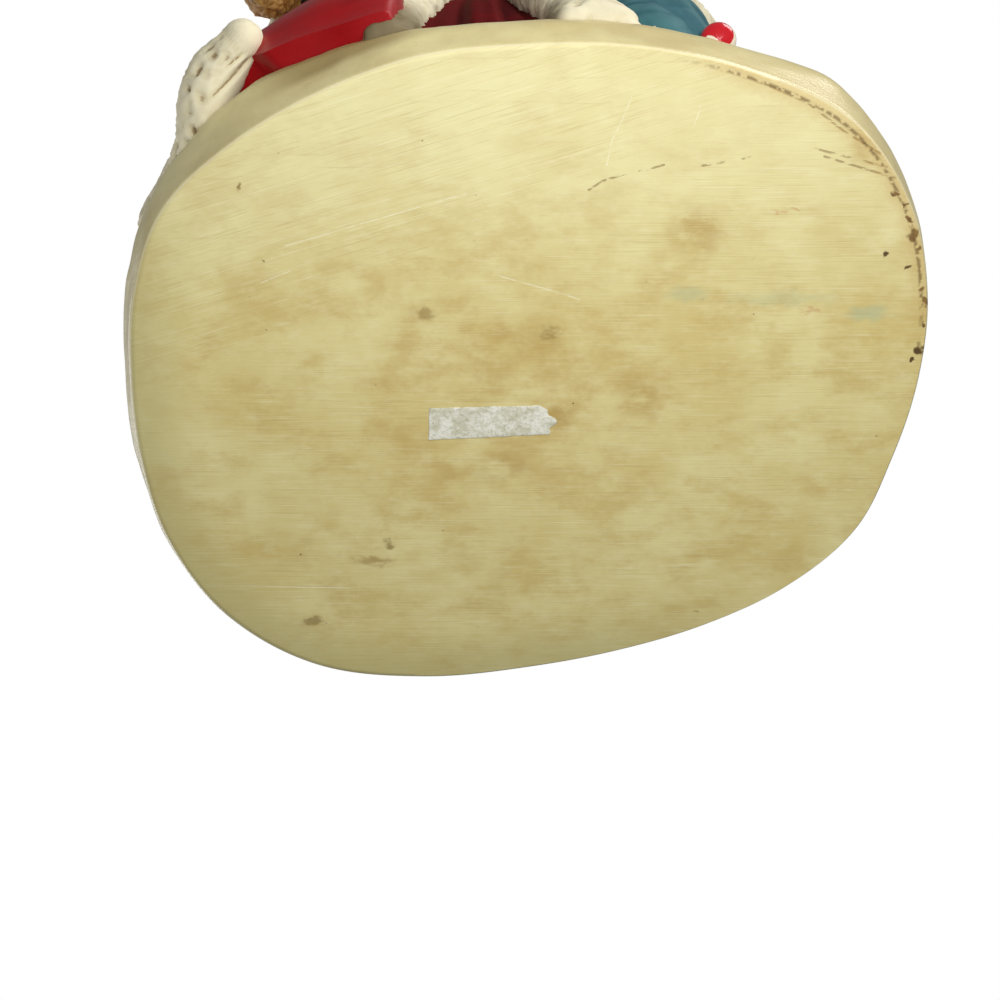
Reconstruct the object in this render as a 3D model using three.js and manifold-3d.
// A painted resin santa figurine, cast in one piece with its oval snow base, in millimetres.
// +Z is up, the figure faces -Y, and the origin is at the middle of the flat underside.

import * as THREE from 'three';
import Module from 'manifold-3d';

// Base: sizes of the sanded underside and of the side wall above it
const footLength = 105.6;
const footWidth = 89.4;
const baseHeight = 13;
const rimHeight = 6.5;
const rimFlare = 1.5;
const edgeBevel = 0.5;
const snowMound = 1.2;
const ledgeReach = 4.4;

// Outline of the underside: its radius every 15 degrees from +X, as a share of the oval's own
const footShape = [
  0.995, 0.978, 0.993, 0.973, 0.948, 0.942, 0.969, 1.036, 1.107, 1.113, 1.072, 1.022,
  0.999, 1.013, 1.034, 1.012, 0.997, 0.999, 0.998, 1.028, 1.069, 1.109, 1.085, 1.036,
];

// Figure: its forms are laid out in shares of its own height, 200 units from the snow to the hat's top
const figureHeight = 200;
const unit = figureHeight / 200;

// Sizes that repeat on the figure, in the same units
const furThickness = 4.6;
const furPitch = 5;
const furRelief = 0.55;
const openingWidth = 20;
const beltWidth = 10;
const beltThickness = 1.4;
const caneThickness = 4.8;

const degree = Math.PI / 180;
const turn = 2 * Math.PI;

const wasm = await Module();
wasm.setup();

// Smooth curves

/** Cubic step from a to b, with the slopes da and db at its ends. */
function blend(a, b, da, db, t) {
  const rest = 1 - t;
  return rest * rest * ((1 + 2 * t) * a + t * da) + t * t * ((3 - 2 * t) * b - rest * db);
}

/** Row of numbers at a place along a smooth curve that passes through every given row. */
function through(rows, place) {
  const last = rows.length - 1;
  const index = Math.min(Math.floor(place), last - 1);
  const row = (k) => rows[Math.min(Math.max(k, 0), last)];
  return rows[index].map((value, c) => blend(
    value,
    row(index + 1)[c],
    (row(index + 1)[c] - row(index - 1)[c]) / 2,
    (row(index + 2)[c] - value) / 2,
    place - index,
  ));
}

/** Value at an angle on a smooth closed curve through values that are spaced evenly round a turn. */
function round(values, angle) {
  const count = values.length;
  const place = ((angle / turn) % 1 + 1) % 1 * count;
  const index = Math.floor(place);
  const value = (k) => values[(index + k + count) % count];
  return blend(value(0), value(1), (value(1) - value(-1)) / 2, (value(2) - value(0)) / 2, place - index);
}

/** A smooth hump of height 1 at zero distance, about one width wide to each side. */
function hump(distance, width) {
  return Math.exp(-((distance / width) ** 2));
}

/** Goes smoothly from 0 at low to 1 at high; low may be the greater of the two. */
function rise(low, high, value) {
  const t = THREE.MathUtils.clamp((value - low) / (high - low), 0, 1);
  return t * t * (3 - 2 * t);
}

/** Point of the figure: x and y in units, h in units above the snow. */
function at(x, y, h) {
  return new THREE.Vector3(x * unit, y * unit, baseHeight + h * unit);
}

// Closed solids

/** Solid from a list of points and the corners of its triangles, turned so that its faces point out. */
function solid(points, corners) {
  let volume = 0;
  for (let i = 0; i < corners.length; i += 3) {
    const [a, b, c] = [points[corners[i]], points[corners[i + 1]], points[corners[i + 2]]];
    volume += a.dot(b.clone().cross(c));
  }
  const faces = volume > 0 ? corners : corners.slice().reverse();
  return new wasm.Manifold(new wasm.Mesh({
    numProp: 3,
    vertProperties: new Float32Array(points.flatMap((point) => point.toArray())),
    triVerts: new Uint32Array(faces),
  }));
}

/** Solid skinned over rings that all have the same number of points, closed at both ends. */
function skin(rings) {
  const count = rings[0].length;
  const points = rings.flat();
  const corners = [];
  for (let start = 0; start + count < points.length; start += count) {
    for (let i = 0; i < count; i += 1) {
      const a = start + i;
      const b = start + ((i + 1) % count);
      corners.push(a, b, b + count, a, b + count, a + count);
    }
  }
  for (const [ring, start, step] of [[rings[0], 0, -1], [rings.at(-1), points.length - count, 1]]) {
    const middle = ring.reduce((sum, point) => sum.add(point), new THREE.Vector3()).divideScalar(count);
    const hub = points.push(middle) - 1;
    for (let i = 0; i < count; i += 1) {
      const pair = [start + i, start + ((i + 1) % count)];
      corners.push(...(step > 0 ? pair : pair.reverse()), hub);
    }
  }
  return solid(points, corners);
}

/** Angles round a ring, closer together at the figure's front where crowd is above 0. */
function ringAngles(sides, crowd) {
  return Array.from({ length: sides }, (_, i) => {
    const t = (i / sides) * turn - Math.PI;
    return t - crowd * Math.sin(t) - Math.PI / 2;
  });
}

/**
 * Upright form of level oval rings. Rows give x, y, h and the oval's half widths along X and Y;
 * relief(angle, h) adds to both half widths.
 */
function upright(rows, { sides, steps, relief = () => 0, crowd = 0 }) {
  const rings = [];
  for (let i = 0; i <= (rows.length - 1) * steps; i += 1) {
    const [x, y, h, wide, deep] = through(rows, i / steps);
    rings.push(ringAngles(sides, crowd).map((angle) => {
      const extra = relief(angle, h);
      return at(x + (wide + extra) * Math.cos(angle), y + (deep + extra) * Math.sin(angle), h);
    }));
  }
  return skin(rings);
}

/**
 * Limb along a path. Rows give x, y, h and the half widths across and along the hint direction;
 * relief(angle, place) adds to both half widths.
 */
function limb(rows, { sides, steps, relief = () => 0, hint = [0, 0, 1] }) {
  const count = (rows.length - 1) * steps;
  const samples = Array.from({ length: count + 1 }, (_, i) => through(rows, i / steps));
  const spots = samples.map(([x, y, h]) => new THREE.Vector3(x, y, h));
  const up = new THREE.Vector3(...hint);
  const rings = samples.map(([, , , wide, tall], i) => {
    const along = spots[Math.min(i + 1, count)].clone().sub(spots[Math.max(i - 1, 0)]).normalize();
    const across = along.clone().cross(up).normalize();
    const above = across.clone().cross(along);
    return ringAngles(sides, 0).map((angle) => {
      const extra = relief(angle, i / steps);
      const point = spots[i].clone();
      point.addScaledVector(across, (wide + extra) * Math.cos(angle));
      point.addScaledVector(above, (tall + extra) * Math.sin(angle));
      return at(point.x, point.y, point.z);
    });
  });
  return skin(rings);
}

/** Rounded lump with its middle at x, y, h and three half widths. */
function lump(x, y, h, wide, deep, tall, sides = 9, levels = 6) {
  const rings = [];
  for (let i = 0; i <= levels; i += 1) {
    const slope = (-1 + (2 * Math.max(0.12, Math.min(levels - 0.12, i))) / levels) * 90 * degree;
    const [out, up] = [Math.cos(slope), Math.sin(slope)];
    rings.push(ringAngles(sides, 0).map((angle) => (
      at(x + wide * out * Math.cos(angle), y + deep * out * Math.sin(angle), h + tall * up)
    )));
  }
  return skin(rings);
}

/** Curly fur: small bumps along a band and round its section. */
function furBumps(angle, length) {
  const row = Math.sin((length / furPitch) * turn);
  return furRelief * (row * Math.cos(3 * angle) + 0.5 * Math.cos((length / furPitch) * 4.1));
}

// Snow base

/** Ring of the base at a height; flare moves its outline out, and ledge lets it follow the coat's left flap. */
function baseRing(height, { flare = 0, ledge = 0, share = 1 }) {
  return ringAngles(48, 0).map((angle) => {
    const radius = share * round(footShape, angle);
    const swell = flare * (1 + 0.4 * Math.cos(angle - 190 * degree) + 0.5 * hump(angle + 49 * degree, 0.12));
    const offset = swell + ledge * hump(angle + 129 * degree, 18 * degree);
    return new THREE.Vector3(
      Math.cos(angle) * (radius * (footLength / 2) + offset),
      Math.sin(angle) * (radius * (footWidth / 2) + offset),
      height,
    );
  });
}

/** Flat-bottomed oval of snow with a swelling rim, a ledge under the coat's flap and a low mound on top. */
function makeBase() {
  const shoulder = baseHeight - rimHeight;
  return skin([
    baseRing(0, { flare: -edgeBevel / 3 }),
    baseRing(edgeBevel, { flare: edgeBevel / 2 }),
    baseRing(rimHeight, { flare: rimFlare }),
    baseRing(rimHeight + shoulder * 0.5, { flare: rimFlare * 0.7, ledge: ledgeReach * 0.5 }),
    baseRing(rimHeight + shoulder * 0.85, { flare: -rimFlare * 0.4, ledge: ledgeReach }),
    baseRing(baseHeight, { share: 0.9, ledge: ledgeReach }),
    baseRing(baseHeight + snowMound, { share: 0.55 }),
  ]);
}

// Robes

const coatAxis = { x: -6, y: -4 };
const hemRadii = [41.5, 39, 38, 38, 39, 41, 42.4, 47, 47.4, 43.4, 44.6, 38];
const hemHeight = 17;
const waistHeight = 87;
const waist = { wide: 30, deep: 30 };
const foldDepth = 2.3;
const coatSides = 44;

/** Radius of an upright oval at an angle. */
function ovalRadius(wide, deep, angle) {
  return 1 / Math.hypot(Math.cos(angle) / wide, Math.sin(angle) / deep);
}

/** Upright folds that deepen towards the hem and fade beside the front opening. */
function folds(angle, h) {
  const depth = 0.3 + foldDepth * rise(waistHeight, hemHeight, h);
  const away = rise(Math.cos(25 * degree), Math.cos(55 * degree), -Math.sin(angle));
  return depth * away * (0.7 * Math.sin(8 * angle + 0.012 * h) + 0.3 * Math.sin(13 * angle + 1.3));
}

/** Radius of the coat's skirt at an angle and a height: it hangs straight, then draws in to the waist. */
function skirtRadius(angle, h) {
  const flare = Math.min(1, Math.max(0, (waistHeight - h) / (waistHeight - hemHeight))) ** 1.45;
  const narrow = ovalRadius(waist.wide, waist.deep, angle);
  return narrow + (round(hemRadii, angle) - narrow) * flare + folds(angle, h);
}

/** Point on the skirt's outside, moved out by extra. */
function skirtPoint(angle, h, extra = 0) {
  const radius = skirtRadius(angle, h) + extra;
  return [coatAxis.x + radius * Math.cos(angle), coatAxis.y + radius * Math.sin(angle), h];
}

/** Outer coat from the hem to the neck, still without its front opening. */
function makeCoat() {
  const skirt = [-1, 3, 10, 18, 30, 44, 58, 72, waistHeight].map((h) => (
    ringAngles(coatSides, 0).map((angle) => at(...skirtPoint(angle, h)))
  ));
  const chest = [
    [-6, -4.4, 97, 30.6, 30.6],
    [-6, -5, 108, 31, 29.6],
    [-6, -4, 121, 30, 25.4],
    [-6, -3.4, 133, 27.6, 20],
    [-6, -4, 143, 18, 15],
    [-6, -5, 148, 12, 11],
  ].map(([x, y, h, wide, deep]) => ringAngles(coatSides, 0).map((angle) => {
    const radius = ovalRadius(wide, deep, angle);
    return at(x + radius * Math.cos(angle), y + radius * Math.sin(angle), h);
  }));
  return skin([...skirt, ...chest]);
}

/** Wedge that opens the coat down the front, from its full width at the hem to a slit at the belt. */
function makeOpening() {
  const half = openingWidth / 2;
  const corners = [
    [-3, -7.3 - half, -7.3 + half],
    [waistHeight - 4, -8, -4],
  ];
  return skin(corners.map(([h, left, right]) => (
    [at(left, -60, h), at(right, -60, h), at(right, -30, h), at(left, -30, h)]
  )));
}

/** Dark inner robe with pleats, seen in the opening of the coat. */
function makeRobe() {
  const pleats = (angle, h) => 0.8 * Math.sin(20 * angle) * rise(95, 20, h);
  return upright([
    [-7, -10, -2, 27, 33.5],
    [-7, -10, 20, 26, 32.6],
    [-7, -9, 50, 23, 31],
    [-6, -7, 90, 20, 28],
  ], { sides: 26, steps: 1, relief: pleats, crowd: 0.6 });
}

// Fur

/** Roll of fur along the hem, from its proud end at the left flap round the back to the right flap's corner. */
function makeHemFur() {
  const rows = [];
  const [start, end] = [230, -66];
  const [proudEnd, proudSpread] = [3.8, 14];
  const ends = [0.6, 0.92];
  const count = 34;
  for (let i = 0; i <= count; i += 1) {
    const turned = ((end - start) * i) / count;
    const proud = proudEnd * hump(turned, proudSpread);
    const [x, y] = skirtPoint((start + turned) * degree, 4, proud - 1.4);
    const size = furThickness * (ends[Math.min(i, count - i)] ?? 1);
    rows.push([x, y, 4.6, size, size * 1.4]);
  }
  const relief = (angle, place) => furBumps(angle, place * 6.5);
  return limb(rows, { sides: 8, steps: 1, relief });
}

/** Fur band down one edge of the coat's opening, from the neck to the hem. */
function makeFrontTrim(rows) {
  const relief = (angle, place) => furBumps(angle, place * 22);
  return limb(rows, { sides: 6, steps: 3, relief, hint: [0, -1, 0] });
}

const leftTrim = [
  [-18.2, -42.4, -1.4, 4, 3.2],
  [-17, -41.4, 22, 4.2, 3.8],
  [-14.4, -39.4, 52, 4.2, 3.8],
  [-10.4, -35, 86, 4, 3.4],
  [-9.6, -33.4, 108, 4, 3.4],
];
const rightTrim = [
  [10, -42.6, -1.4, 5, 3.6],
  [7, -41.8, 22, 4.6, 3.8],
  [2.6, -39.6, 52, 4.2, 3.8],
  [-1.6, -35, 86, 4, 3.4],
  [-2.4, -33.4, 108, 4, 3.4],
];

/** Wide fur collar over the shoulders. */
function makeCollar() {
  const relief = (angle, h) => furBumps(h * 0.9, angle * 22);
  return upright([
    [-6, -6, 135, 21, 17],
    [-6, -7, 137.5, 26.5, 22],
    [-6, -7, 142, 27, 22.5],
    [-6, -7, 147, 22, 19],
    [-6, -7, 150, 15, 14],
  ], { sides: 24, steps: 1, relief });
}

// Arms: rows are laid out for the right arm, on the viewer's left, then for the left arm

const arms = [
  {
    sleeve: [[-27, -4, 137, 9, 9], [-34.4, -4, 124, 10.5, 10], [-39.4, -7, 108, 10.5, 10],
      [-39, -16, 94, 10, 9.5], [-34.8, -24, 88, 8.4, 8.2]],
    cuff: [[-36.2, -21.5, 90.5, 7.6, 7.6], [-35.4, -23, 89.3, 9.8, 9.6], [-33.4, -27, 86.8, 9.6, 9.4],
      [-32.7, -28.5, 86, 7, 7]],
    mitten: [-31, -33, 84.6, 6.2, 6, 5],
    thumb: [-26.8, -32, 89, 2.6, 3.4, 3.8],
  },
  {
    sleeve: [[15, -4, 137, 9, 9], [23, -4, 124, 10.5, 10], [29.5, -7, 108, 10.5, 10],
      [29.5, -16, 93, 10, 9.5], [24.5, -24, 85, 8.6, 8.4]],
    cuff: [[26, -21.5, 87.4, 8, 8], [25, -23, 86, 10.4, 10.4], [22.6, -27, 82.6, 10.2, 10.2],
      [21.7, -28.4, 81.5, 7.4, 7.4]],
    mitten: [19.6, -30.6, 77.4, 6.4, 5.6, 6],
    thumb: [14.6, -32.2, 79.6, 2.6, 3, 3.6],
  },
];

/** Sleeve, fur cuff and mitten of one arm. */
function makeArm({ sleeve, cuff, mitten, thumb }) {
  const creases = (angle, place) => 0.7 * Math.sin(place * 5.2 + angle) * rise(0.5, 2, place);
  const fur = (angle, place) => furBumps(place * 2, angle * 8);
  return [
    limb(sleeve, { sides: 12, steps: 2, relief: creases, hint: [1, 0, 0.2] }),
    limb(cuff, { sides: 12, steps: 1, relief: fur, hint: [1, 0, 0.2] }),
    lump(...mitten),
    lump(...thumb, 6, 4),
  ];
}

// Belt

/** Leather belt round the waist with a square buckle. */
function makeBelt() {
  const half = beltWidth / 2;
  const rows = [
    [waistHeight - half, -0.6],
    [waistHeight - half + 0.6, beltThickness],
    [waistHeight + half - 0.6, beltThickness],
    [waistHeight + half, -0.6],
  ];
  const strap = skin(rows.map(([h, extra]) => ringAngles(32, 0).map((angle) => {
    const radius = ovalRadius(waist.wide + 0.9 + extra, waist.deep + 1.4 + extra, angle);
    return at(coatAxis.x + radius * Math.cos(angle), coatAxis.y + radius * Math.sin(angle), h);
  })));
  return [strap, makeBuckle()];
}

/** Square buckle with a sunk middle, on the front of the belt. */
function makeBuckle() {
  const front = coatAxis.y - waist.deep - beltThickness - 4.2;
  const size = beltWidth + 3;
  const block = (wide, y, deep) => {
    const [half, back] = [wide / 2, y + deep];
    const [left, right] = [coatAxis.x - half, coatAxis.x + half];
    const ring = (h) => [at(left, y, h), at(right, y, h), at(right, back, h), at(left, back, h)];
    return skin([ring(waistHeight - half), ring(waistHeight + half)]);
  };
  return block(size, front, 5).subtract(block(size - 5, front - 1, 1.9));
}

// Head

const faceMiddle = -6;

/** Raised and sunk forms of a calm, bearded face: nose, brows, eyes and cheeks. */
function faceRelief(angle, h) {
  const side = 16 * Math.sin(angle + 90 * degree);
  const spread = Math.abs(side);
  const front = rise(0, 0.5, -Math.sin(angle));
  const nose = 4.6 * hump(side, 2.9) * hump(h - 163.8, 3.2) + 2.3 * hump(side, 2) * hump(h - 169, 3.8);
  const socket = -2 * hump(spread - 5.8, 3.2) * hump(h - 170.4, 2.4);
  const eye = 1.2 * hump(spread - 5.8, 2.1) * hump(h - 170, 1.4);
  const brow = 1.3 * hump(spread - 6.2, 3.8) * hump(h - 174, 1.6);
  const cheek = 2 * hump(spread - 8.8, 3.6) * hump(h - 163.6, 3.4);
  return front * (nose + socket + eye + brow + cheek);
}

/** Head down to the chin, most of it under the hat, the hair and the beard. */
function makeHead() {
  return upright([
    [faceMiddle, -11, 147, 7, 7],
    [faceMiddle, -12.4, 153, 13, 13.6],
    [faceMiddle, -12.6, 161, 15.6, 16.2],
    [faceMiddle, -12, 169, 16.2, 16.6],
    [faceMiddle, -11, 178, 15, 15.6],
  ], { sides: 28, steps: 3, relief: faceRelief, crowd: 0.6 });
}

/** Locks: wavy ridges that run down and meet at the tip. */
function locks(angle, h, count, depth) {
  const sway = 0.16 * Math.sin(h / 7) + 0.08 * Math.sin(h / 3.1 + 3 * angle);
  return depth * Math.sin(count * (angle + sway));
}

/** Long beard that leaves the face bare and narrows to a tip over the chest. */
function makeBeard() {
  const relief = (angle, h) => {
    const bare = rise(152, 160, h) * hump(angle + 90 * degree, 0.95);
    return locks(angle, h, 11, 1.2) - 7.5 * bare;
  };
  return upright([
    [-5, -25, 98, 1.6, 1.6],
    [-5.4, -27, 102, 7, 6.6],
    [-6, -25.4, 114, 13.6, 10.4],
    [-6, -22, 128, 18.6, 12.4],
    [-6, -18, 142, 20, 14],
    [-6, -14.4, 154, 19, 15.6],
    [-6, -11.6, 166, 17.2, 15],
    [-6, -9.6, 173, 13, 12],
  ], { sides: 28, steps: 2, relief, crowd: 0.5 });
}

/** Half of the moustache, sweeping out and down from below the nose. */
function makeMoustache(side) {
  const x = (distance) => faceMiddle + side * distance;
  const relief = (angle, place) => 0.35 * Math.sin(4 * angle + place);
  return limb([
    [x(-0.6), -28.8, 160.2, 1.6, 1.8],
    [x(3.6), -29.8, 159, 2.8, 3.4],
    [x(9), -28, 155.4, 2.8, 3.2],
    [x(14), -25.4, 152.6, 1.8, 2],
    [x(17.4), -23, 153.8, 0.5, 0.6],
  ], { sides: 8, steps: 2, relief });
}

/** Hair at the back and sides of the head, down to the collar. */
function makeHair() {
  return upright([
    [-6, -3, 146, 13, 10],
    [-6, -4, 151, 16.8, 13.6],
    [-6, -5, 162, 17.8, 15],
    [-6, -6, 172, 17.4, 15.4],
    [-6, -7, 179, 15, 14],
  ], { sides: 20, steps: 1, relief: (angle, h) => locks(angle, h, 7, 0.9) });
}

// Hat

/** Red hat with its tip folded over to the left arm's side, a fur brim and a pompom. */
function makeHat() {
  const crown = upright([
    [-6, -10, 180, 16.6, 17.4],
    [-5.6, -9.6, 187, 15.6, 16.2],
    [-4.8, -8.8, 192.6, 12, 12.6],
    [-3.6, -7.8, 197, 7.6, 8],
    [-2.8, -7, 199.4, 3.6, 3.8],
    [-2.6, -7, 200, 1, 1],
  ], { sides: 16, steps: 1 });
  const tail = limb([
    [-4, -7.4, 192.4, 6.6, 6.2],
    [5, -5, 193, 6.6, 5.6],
    [13, -3, 187.5, 5.6, 5],
    [18.4, -2, 179, 4.4, 4.2],
    [21, -1.8, 170.6, 3.6, 3.6],
  ], { sides: 8, steps: 2, hint: [0, 1, 0] });
  const relief = (angle, h) => furBumps(h, angle * 20);
  const brim = upright([
    [-6, -10.6, 175.4, 15.4, 16],
    [-6, -10.8, 176.8, 19.8, 20.2],
    [-6, -10.8, 180.8, 21.2, 21.6],
    [-6, -10.6, 185, 19.6, 20],
    [-6, -10.4, 186.6, 14.4, 15],
  ], { sides: 24, steps: 1, relief });
  return [crown, tail, brim, lump(21.8, -2, 165, 6.8, 6.8, 6.6, 10, 6)];
}

// Toys

/** Toy sack, gathered at its neck by a rope, with a frilled mouth. */
function makeSack() {
  const relief = (angle, h) => {
    const gather = 1.2 * Math.sin(9 * angle + 0.5) * hump(h - 66, 22);
    const sag = 0.7 * Math.sin(3 * angle + h / 6) * rise(50, 20, h);
    return gather + sag;
  };
  const bag = upright([
    [18, -30.6, -1.5, 8, 11.6],
    [17.6, -30.8, 2, 10.4, 14],
    [16.8, -30.8, 12, 11.6, 15.2],
    [16.4, -30.6, 24, 11.8, 15.2],
    [16.4, -29, 38, 12.6, 13.6],
    [16.6, -28, 51, 11.4, 11.2],
    [17, -28, 61, 7, 7],
    [17.2, -28.4, 66, 5, 5],
    [17.2, -28.8, 71, 8, 7.6],
    [17.2, -29, 75, 10.6, 9.6],
    [17.2, -29, 75.6, 8.6, 7.6],
  ], { sides: 22, steps: 1, relief });
  const cord = upright([
    [17.2, -28.4, 64, 5.2, 5.2],
    [17.2, -28.4, 65.2, 7.4, 7.4],
    [17.2, -28.4, 67, 7.4, 7.4],
    [17.2, -28.4, 68.2, 5.2, 5.2],
  ], { sides: 16, steps: 1 });
  return [bag, cord];
}

/** Candy cane leaning on the sack, with its crook bent back over it. */
function makeCane() {
  const r = caneThickness / 2;
  const foot = [25.2, -43, -1.2];
  const head = [29.6, -33.8, 48];
  const lean = (share) => foot.map((value, i) => value + (head[i] - value) * share);
  return limb([
    [...lean(0), r * 0.7, r * 0.7],
    [...lean(0.03), r, r],
    [...lean(0.5), r, r],
    [...lean(1), r, r],
    [28.6, -31.6, 55.4, r, r],
    [24, -30, 58.6, r, r],
    [19, -29, 56, r, r],
  ], { sides: 8, steps: 2, hint: [0.3, -1, 0] });
}

/** Teddy bear sitting on the right forearm, with one leg hanging and the other forward. */
function makeTeddy() {
  const [x, y, h] = [-37, -33.4, 95];
  const legs = [
    [[-3.6, 1, -6, 3.2, 3.2], [-4.6, -3.4, -11, 3.8, 3.8], [-4.8, -2.4, -19, 3.8, 4],
      [-4.8, -1.8, -22.6, 2.2, 2.6]],
    [[3.6, 1, -6, 3.2, 3.2], [4.8, -4.6, -9, 3.8, 3.8], [5.4, -7.6, -13, 3.8, 4],
      [5.6, -9, -14.6, 2.2, 2.6]],
  ].map((rows) => limb(
    rows.map(([dx, dy, dh, wide, tall]) => [x + dx, y + dy, h + dh, wide, tall]),
    { sides: 8, steps: 1, hint: [1, 0, 0] },
  ));
  const pairs = [-1, 1].flatMap((side) => [
    lump(x + side * 5.6, y - 1, h + 21, 2.9, 2, 3, 6, 4),
    limb([
      [x + side * 6, y - 1, h + 8, 2.2, 2.2],
      [x + side * 8.6, y - 3.6, h + 2, 3, 3],
      [x + side * 7.4, y - 6.6, h - 3, 2.8, 2.8],
      [x + side * 6.8, y - 7.6, h - 5, 1.2, 1.2],
    ], { sides: 8, steps: 1, hint: [1, 0, 0] }),
  ]);
  return [
    lump(x, y, h, 8.4, 7.6, 10.5, 10),
    lump(x, y - 1.4, h + 15, 7.8, 7.2, 7.2),
    lump(x, y - 7.4, h + 13, 3.4, 3, 2.8, 8, 4),
    ...legs,
    ...pairs,
  ];
}

// The whole casting

/** The same solid with its sealed voids filled, as resin fills a mould. */
function filled(shape) {
  return wasm.Manifold.union(shape.decompose().filter((shell) => shell.volume() > 0));
}

const coat = makeCoat().subtract(makeOpening());
const casting = filled(wasm.Manifold.union([
  makeBase(),
  coat,
  makeRobe(),
  makeHemFur(),
  makeFrontTrim(leftTrim),
  makeFrontTrim(rightTrim),
  makeCollar(),
  ...arms.flatMap(makeArm),
  ...makeBelt(),
  makeHead(),
  makeBeard(),
  makeMoustache(-1),
  makeMoustache(1),
  makeHair(),
  ...makeHat(),
  ...makeSack(),
  makeCane(),
  ...makeTeddy(),
]));

/** Three.js geometry of a solid, shaded flat. */
function geometryOf(manifold) {
  const mesh = manifold.getMesh();
  const geometry = new THREE.BufferGeometry();
  geometry.setAttribute('position', new THREE.BufferAttribute(new Float32Array(mesh.vertProperties), 3));
  geometry.setIndex(new THREE.BufferAttribute(new Uint32Array(mesh.triVerts), 1));
  geometry.computeVertexNormals();
  return geometry;
}

const paintedResin = new THREE.MeshStandardMaterial({ color: 0xb01f24, roughness: 0.45, metalness: 0 });
const figurine = new THREE.Mesh(geometryOf(casting), paintedResin);
figurine.name = 'santa_figurine';

const group = new THREE.Group();
group.add(figurine);

export default group;
